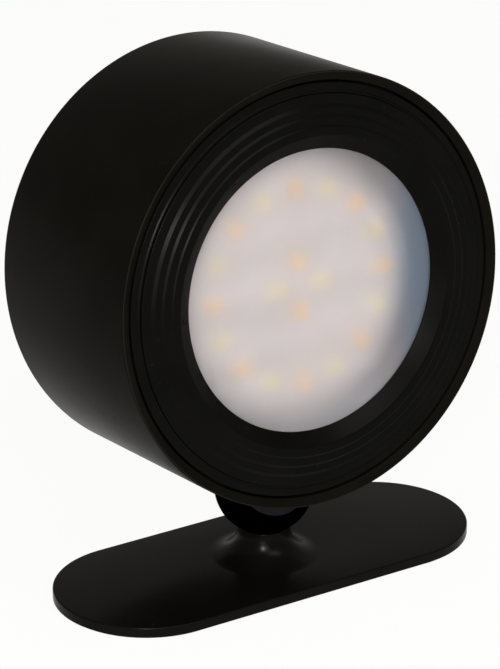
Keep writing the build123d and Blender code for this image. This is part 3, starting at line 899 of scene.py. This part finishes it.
def settle(piece, material, body, slot, *nodes):
    # Gives a finished piece its material and its body, and hides the CAD nodes it stands for. The slot
    # is not used.
    paint(piece, material)
    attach(piece, body)
    if nodes:
        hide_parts(*nodes)


# Stick-on plate

def make_plate():
    # One casting: bar, flared stem, cup for the ball and bore for the stem's magnet.
    half_width = (plate_high.y - plate_low.y) / 2
    foot_radius = stem_rim_radius + stem_flare_radius
    rim_height = plate_high.z
    top = rim_height - stem_flare_radius
    cup = ball_radius + ball_gap
    bore_height = ball_centre.z - sqrt(cup * cup - stem_bore_radius * stem_bore_radius)
    bore_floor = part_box("stem_magnet")[0].z
    outline = [(0, plate_low.z, 0), (half_width, plate_low.z, 0), (half_width, top, plate_edge_round)]
    flare = arc(foot_radius, rim_height, stem_flare_radius, -pi / 2, -pi, flare_arc_steps)
    outline += flare[:-1]
    outline.append((stem_rim_radius, rim_height, stem_rim_round))
    start = atan2(rim_height - ball_centre.z, stem_rim_radius)
    end = atan2(bore_height - ball_centre.z, stem_bore_radius)
    outline += arc(0, ball_centre.z, cup, start, end, stem_cup_arc_steps)[1:]
    outline += [(stem_bore_radius, bore_floor, 0), (0, bore_floor, 0)]
    piece = turned("plate_casting", outline, upright=True, steps=plate_steps, closed=False)
    stretch(piece, foot_radius + near, plate_high.x - plate_low.x - 2 * half_width)
    smooth(piece)
    settle(piece, plate_black, "wall_mount", "plate_black", "base_plate")


def make_pad():
    # Soft foam, so its sides are a little hollow at mid-height.
    half_width = (pad_high.y - pad_low.y) / 2
    middle = (pad_low.z + pad_high.z) / 2
    outline = [
        (0, pad_low.z, 0), (half_width, pad_low.z, pad_edge_round),
        (half_width - pad_edge_round, middle, pad_edge_round),
        (half_width, pad_high.z, pad_edge_round), (0, pad_high.z, 0),
    ]
    piece = turned("foam_pad", outline, upright=True, steps=plate_steps, closed=False)
    stretch(piece, near, pad_high.x - pad_low.x - 2 * half_width)
    smooth(piece)
    settle(piece, pad_grey, "wall_mount", "pad_foam", "adhesive_pad")


def make_ball():
    # The poles are set exactly on the axis.
    outline = arc(0, ball_centre.z, ball_radius, -pi / 2, pi / 2, ball_arc_steps)
    outline[0] = (0, outline[0][1], 0)
    outline[-1] = (0, outline[-1][1], 0)
    piece = turned("polished_ball", outline, upright=True, closed=False)
    smooth(piece, pi)
    settle(piece, ball_black, "ball", "ball_black", "pivot_ball")


def make_seat():
    # The cup in the head that the ball pulls into, drawn with the head's axis at zero height.
    cup = ball_radius + ball_gap
    body_radius = seat_hole_radius - seat_room
    rim = seat_low.z
    centre = -axis_height
    flange_radius = (seat_high.x - seat_low.x) / 2
    flange_low = seat_high.z - seat_flange_thickness
    rim_angle = atan2(rim - centre, sqrt(cup * cup - (rim - centre) ** 2))
    magnet_angle = atan2(sqrt(cup * cup - seat_magnet_room * seat_magnet_room), seat_magnet_room)
    outline = [
        (body_radius, rim, seat_edge_round), (body_radius, flange_low, 0),
        (flange_radius, flange_low, 0), (flange_radius, seat_high.z, 0),
        (seat_magnet_room, seat_high.z, 0),
    ]
    outline += arc(0, centre, cup, magnet_angle, rim_angle, seat_cup_arc_steps)
    piece = turned("ball_seat_cup", outline, upright=True)
    place_mesh(piece, head_frame @ Matrix.Translation((0, -face_depth, 0)))
    smooth(piece)
    settle(piece, cup_black, "ball_seat", "cup_plastic", "seat_cup")


# Lamp head

def make_shell():
    # The barrel with its sloped front rim, and the face's flange inside.
    inner = head_radius - shell_wall
    outline = [
        (inner, rim_set_back + rim_slope_drop, 0), (head_radius, rim_set_back, rim_round),
        (head_radius, shell_back, shell_back_round), (inner, shell_back, 0),
        (inner, flange_back, 0), (flange_inner_radius, flange_back, 0),
        (flange_inner_radius, flange_front, 0), (inner, flange_front, 0),
    ]
    piece = turned("drum_shell", outline, steps=ring_steps)
    # Known fault: this cutter points inwards and misses the wall, so the drum has no hole for the
    # ball seat, unlike the CAD. Turned by -pi / 2 instead, it would reach through the wall.
    hole = rod("seat_hole", seat_hole_radius, 0, seat_hole_length)
    hole.matrix_world = Matrix.Rotation(pi / 2, 4, "X") @ hole.matrix_world
    place_mesh(hole, Matrix.Translation((0, -face_depth, -head_radius + seat_hole_inset)))
    cut_out(piece, hole)
    place_mesh(piece, head_frame)
    smooth(piece)
    settle(piece, shell_black, "head", "shell_black", "housing_shell")


def bezel_outline():
    # The ring around the light: a cone up to the crown, then terraces that step down.
    outer = (bezel_high.x - bezel_low.x) / 2
    skirt_end = bezel_high.y
    front = diffuser_low.y
    disc_room = (diffuser_high.x - diffuser_low.x) / 2 + bezel_lap
    depth = bezel_low.y
    outline = [
        (bezel_inner_radius, front, 0), (bezel_inner_radius, front - bezel_edge, 0),
        (bezel_inner_radius + bezel_cone_width, depth, crown_round),
    ]
    for step in range(terrace_count - 1):
        radius = outer - (terrace_count - 1 - step) * terrace_pitch
        drop = riser_first_drop + step * riser_drop_growth
        foot = radius - drop / tan(riser_tilt)
        outline += [(foot, depth, riser_round), (radius, depth + drop, riser_round)]
        depth = depth + drop
    outline += [(outer, depth, outer_round), (outer, skirt_end, 0)]
    outline += [(outer - bezel_skirt, skirt_end, 0), (outer - bezel_skirt, diffuser_high.y, 0)]
    outline += [(disc_room, diffuser_high.y, 0), (disc_room, front, 0)]
    return outline


def make_bezel():
    piece = turned("stepped_ring", bezel_outline(), steps=ring_steps)
    place_mesh(piece, head_frame)
    smooth(piece)
    settle(piece, bezel_black, "head", "bezel_black", "stepped_bezel")


def make_trim():
    # The narrow band between the stepped ring and the drum, with a fine bead along its inner edge.
    inner = (bezel_high.x - bezel_low.x) / 2 + trim_gap
    outer = (trim_high.x - trim_low.x) / 2
    bead = trim_low.y
    level = bead + trim_bead_height
    back = trim_high.y
    bead_end = inner + trim_bead_width
    outline = [
        (inner, back, 0), (inner, bead, trim_bead_round), (bead_end, bead, trim_bead_round),
        (bead_end + trim_bead_slope, level, trim_bead_round),
        (outer, level, trim_round), (outer, back, 0),
    ]
    piece = turned("trim_band", outline, steps=ring_steps)
    place_mesh(piece, head_frame)
    smooth(piece)
    settle(piece, bezel_black, "head", "bezel_black", "trim_ring")


def make_diffuser():
    radius = (diffuser_high.x - diffuser_low.x) / 2
    outline = [
        (0, diffuser_low.y, 0), (radius, diffuser_low.y, diffuser_round),
        (radius, diffuser_high.y, diffuser_round), (0, diffuser_high.y, 0),
    ]
    piece = turned("frosted_disc", outline, closed=False)
    place_mesh(piece, head_frame)
    smooth(piece)
    settle(piece, diffuser_frosted, "head", "diffuser_white", "diffuser")


def port_shape(name, width, height, front, back, z, edge_round=0.0):
    # A slot-shaped rod along the depth: a turned disc with its halves pulled apart.
    radius = height / 2
    outline = [(0, front, 0), (radius, front, 0), (radius, back, edge_round), (0, back, 0)]
    piece = turned(name, outline, steps=slot_steps, closed=False)
    for side in (-1, 1):
        pick(piece, "vertices", lambda vertex: vertex.co.x * side > near)
        bpy.ops.transform.translate(value=(side * (width - height) / 2, 0, 0))
    activate(piece)
    piece.location.z = z
    bpy.ops.object.transform_apply(location=True, rotation=True, scale=True)
    return piece


port_width = port_high.x - port_low.x
port_height = port_high.z - port_low.z
port_middle = (port_high.z + port_low.z) / 2
pipe_middle = (pipe_high.z + pipe_low.z) / 2
screw_places = [
    (screw_circle * cos(radians(angle)), 0, screw_circle * sin(radians(angle)))
    for angle in screw_angles
]


def make_cover():
    # The disc that closes the back: touch dish, screw recesses, port slot and pipe hole.
    radius = (cover_high.x - cover_low.x) / 2
    back = cover_high.y
    front = back - cover_thickness
    dish_floor = back - touch_dish
    outline = [
        (0, front, 0), (radius, front, 0), (radius, back - cover_chamfer, 0),
        (radius - cover_chamfer, back, 0), (touch_radius, back, touch_round / 2),
        (touch_radius - touch_dish, dish_floor, touch_round), (0, dish_floor, 0),
    ]
    piece = turned("back_cover", outline, closed=False)
    recess_floor = back - screw_head_height
    recess_top = back + screw_recess_overrun
    recess_outline = [
        (0, recess_floor, 0), (screw_recess_radius, recess_floor, 0),
        (screw_recess_radius, back - screw_recess_lip, 0),
        (screw_recess_radius + screw_recess_flare, recess_top, 0), (0, recess_top, 0),
    ]
    for place in screw_places:
        recess = turned("recess", recess_outline, steps=fine_steps, closed=False)
        place_mesh(recess, Matrix.Translation(place))
        cut_out(piece, recess)
    cut_front = front - cut_overrun
    cut_back = back + cut_overrun
    slot_width = port_width + 2 * port_room
    slot_height = port_height + 2 * port_room
    cut_out(piece, port_shape("port_slot", slot_width, slot_height, cut_front, cut_back, port_middle))
    cut_out(piece, rod("pipe_bore", pipe_radius + pipe_room, cut_front, cut_back, z=pipe_middle))
    place_mesh(piece, head_frame)
    smooth(piece)
    settle(piece, cover_black, "head", "cover_black", "rear_cover")


def make_cover_screws():
    # Three sunk screws with a cross recess.
    back = cover_high.y
    seat = back - screw_head_height
    top = back - screw_sunk
    tip = face_box("cover_screws")[0].y
    outline = [
        (0, tip, 0), (screw_shank_radius * screw_tip_share, tip, 0),
        (screw_shank_radius, tip + screw_tip_length, 0),
        (screw_shank_radius, seat, 0), (screw_head_radius, seat, 0),
        (screw_head_radius, top, screw_head_round), (0, top, 0),
    ]
    first = turned("back_screws", outline, steps=screw_steps, closed=False)
    for turn in (0, pi / 2):
        bar = block(
            "cross", (-cross_arm / 2, top - cross_depth, -cross_width / 2),
            (cross_arm / 2, back + cut_overrun, cross_width / 2),
        )
        pick(bar, "vertices", lambda vertex: vertex.co.y < back)
        taper = (cross_arm_taper, 1, cross_width_taper)
        bpy.ops.transform.resize(value=taper, center_override=(0, back, 0))
        activate(bar)
        place_mesh(bar, Matrix.Rotation(turn, 4, "Y"))
        cut_out(first, bar)
    screws = [first] + [duplicate(first) for place in screw_places[1:]]
    for number, place in enumerate(screw_places):
        turn = Matrix.Rotation(radians(screw_first_turn + screw_turn_growth * number), 4, "Y")
        place_mesh(screws[number], head_frame @ Matrix.Translation(place) @ turn)
    piece = join("back_screws", screws)
    smooth(piece)
    settle(piece, screw_black, "head", "screw_black", "cover_screws")


def make_port():
    # The charging port: a steel sleeve, its tongue, and gold contacts on both sides of that.
    back = port_high.y
    mouth = back - port_depth
    sleeve = port_shape(
        "port_sleeve", port_width, port_height, port_low.y, back, port_middle, port_lip_round,
    )
    hollow = port_shape(
        "port_hollow", port_width - 2 * port_wall, port_height - 2 * port_wall,
        mouth, back + cut_overrun, port_middle,
    )
    cut_out(sleeve, hollow)
    half_width = tongue_width / 2
    half_height = tongue_thickness / 2
    tongue = block(
        "tongue", (-half_width, mouth - port_wall / 2, port_middle - half_height),
        (half_width, back - tongue_set_back, port_middle + half_height),
    )
    bevel_edges(tongue, tongue_round)
    for piece in (sleeve, tongue):
        place_mesh(piece, head_frame)
        smooth(piece)
    settle(sleeve, port_steel, "head", "port_steel", "usb_c_socket")
    settle(tongue, component_black, "head", "component_black")
    contacts = []
    end = back - tongue_set_back - contact_set_back
    for side in (-1, 1):
        z = port_middle + side * half_height
        for number in range(contact_count):
            x = (number - (contact_count - 1) / 2) * contact_pitch
            contacts.append(block(
                "contact", (x - contact_width / 2, end - contact_length, z - contact_proud),
                (x + contact_width / 2, end, z + contact_proud),
            ))
    strips = join("port_contacts", contacts)
    place_mesh(strips, head_frame)
    settle(strips, contact_gold, "head", "port_steel")


def make_pipe():
    # The clear pin of the status light, with a low dome that stays flush.
    back = pipe_high.y
    cover_front = cover_high.y - cover_thickness
    collar_front = cover_front - pipe_collar_thickness
    collar_radius = (pipe_high.x - pipe_low.x) / 2
    outline = [
        (0, pipe_low.y, 0), (pipe_radius, pipe_low.y, 0), (pipe_radius, collar_front, 0),
        (collar_radius, collar_front, 0), (collar_radius, cover_front, 0), (pipe_radius, cover_front, 0),
    ]
    outline += [
        (pipe_radius * across, back - pipe_dome * down, 0) for across, down in pipe_dome_profile
    ]
    piece = turned("status_pipe", outline, steps=screw_steps, closed=False)
    place_mesh(piece, head_frame @ Matrix.Translation((0, 0, pipe_middle)))
    smooth(piece, dome_smooth_angle)
    settle(piece, pipe_clear, "head", "pipe_clear", "light_pipe")


make_plate()
make_pad()
make_ball()
make_seat()
make_shell()
make_bezel()
make_trim()
make_diffuser()
make_cover()
make_cover_screws()
make_port()
make_pipe()

# Inner pieces keep their CAD shape and get their own finishes
inner_finishes = {
    magnet_nickel: ["stem_magnet", "seat_magnet", "battery_tabs", "touch_contact"],
    cup_black: ["ball_cup"],
    keeper_steel: ["seat_keeper"],
    tape_black: ["bezel_tape"],
    chamber_grey: ["reflector"],
    led_board_white: ["led_board"],
    led_warm: ["warm_leds"],
    led_cool: ["cool_leds"],
    frame_grey: ["inner_frame", "battery_strap", "seat_retainer"],
    screw_steel: ["led_board_screws", "frame_screws", "strap_screws", "board_screws", "retainer_screws"],
    cell_wrap: ["battery_cell"],
    foam_grey: ["battery_pad"],
    wire_red: ["battery_lead_red"],
    wire_black: ["battery_lead_black"],
    wire_white: ["led_leads"],
    board_green: ["control_board"],
    component_black: ["board_components"],
    plug_white: ["led_plug"],
    foil_copper: ["touch_pad"],
}
for material, nodes in inner_finishes.items():
    for node in nodes:
        for place in frame["nodes"][node].material_slots:
            place.material = material


# Stage and lights

def looked_at(tree, mirrored):
    # High where the camera looks straight or through something clear, and partly in a reflection.
    rays = add_node(tree, "ShaderNodeLightPath").outputs
    seen = calc(tree, "MAXIMUM", rays["Is Camera Ray"], rays["Is Transmission Ray"])
    return calc(tree, "MAXIMUM", seen, calc(tree, "MULTIPLY", rays["Is Glossy Ray"], mirrored))


def make_floor():
    # The camera sees it as almost plain white, with a trace of the object's shadow.
    deselect()
    bpy.ops.mesh.primitive_circle_add(
        vertices=floor_sides, radius=floor_radius, fill_type="NGON", location=(0, 0, 0),
    )
    floor = bpy.context.object
    floor.name = "studio_floor"
    material = bpy.data.materials.new("floor_white")
    material.use_nodes = True
    tree = material.node_tree
    tree.nodes.clear()
    seen = looked_at(tree, floor_mirrored)
    diffuse = add_node(tree, "ShaderNodeBsdfDiffuse")
    diffuse.inputs["Color"].default_value = floor_colour
    own_white = add_node(tree, "ShaderNodeEmission")
    own_white.inputs["Strength"].default_value = 1.0
    mixed = add_node(tree, "ShaderNodeMixShader")
    feed(tree, mixed.inputs["Fac"], calc(tree, "MULTIPLY", seen, floor_own_white))
    wire(tree, diffuse.outputs[0], mixed.inputs[1])
    wire(tree, own_white.outputs[0], mixed.inputs[2])
    output = add_node(tree, "ShaderNodeOutputMaterial")
    wire(tree, mixed.outputs[0], output.inputs["Surface"])
    paint(floor, material)


def make_world():
    # Soft light from all around, which shows as plain white to the camera.
    world = bpy.data.worlds.new("studio")
    bpy.context.scene.world = world
    world.use_nodes = True
    tree = world.node_tree
    tree.nodes.clear()
    seen = looked_at(tree, sky_mirrored)
    sky = add_node(tree, "ShaderNodeBackground")
    wire(tree, blend_colour(tree, seen, sky_colour, white), sky.inputs["Color"])
    strength = spread(tree, seen, low=0.0, high=1.0, new_low=sky_strength, new_high=1.0)
    wire(tree, strength, sky.inputs["Strength"])
    output = add_node(tree, "ShaderNodeOutputWorld")
    wire(tree, sky.outputs[0], output.inputs["Surface"])


head_centre = head_frame @ Vector((0, lamp_aim_depth, 0))


def softbox(name, azimuth, elevation, distance, width, height, watts, colour):
    # A lamp that looks at the head. Both angles are in degrees, and the azimuth counts from the
    # front (-Y) towards the right (+X).
    turn = radians(azimuth)
    rise = radians(elevation)
    away = Vector((sin(turn) * cos(rise), -cos(turn) * cos(rise), sin(rise)))
    place = head_centre + away * distance
    bpy.ops.object.light_add(type="AREA")
    lamp = bpy.context.object
    lamp.name = name
    lamp.data.shape = "RECTANGLE"
    lamp.data.size = width
    lamp.data.size_y = height
    lamp.data.energy = watts
    lamp.data.color = colour
    lamp.matrix_world = Matrix.Translation(place) @ look_at(place, head_centre)


make_floor()
make_world()
softbox("key", -28, 24, 1.1, 0.5, 0.42, 2.5, soft_white)
softbox("spark", -36, 23, 1.1, 0.15, 0.15, 9, soft_white)
softbox("upper", 8, 44, 1.2, 0.75, 0.45, 5.5, soft_white)
softbox("low_left", -38, 3, 1.2, 0.5, 0.12, 1.5, warm_white)
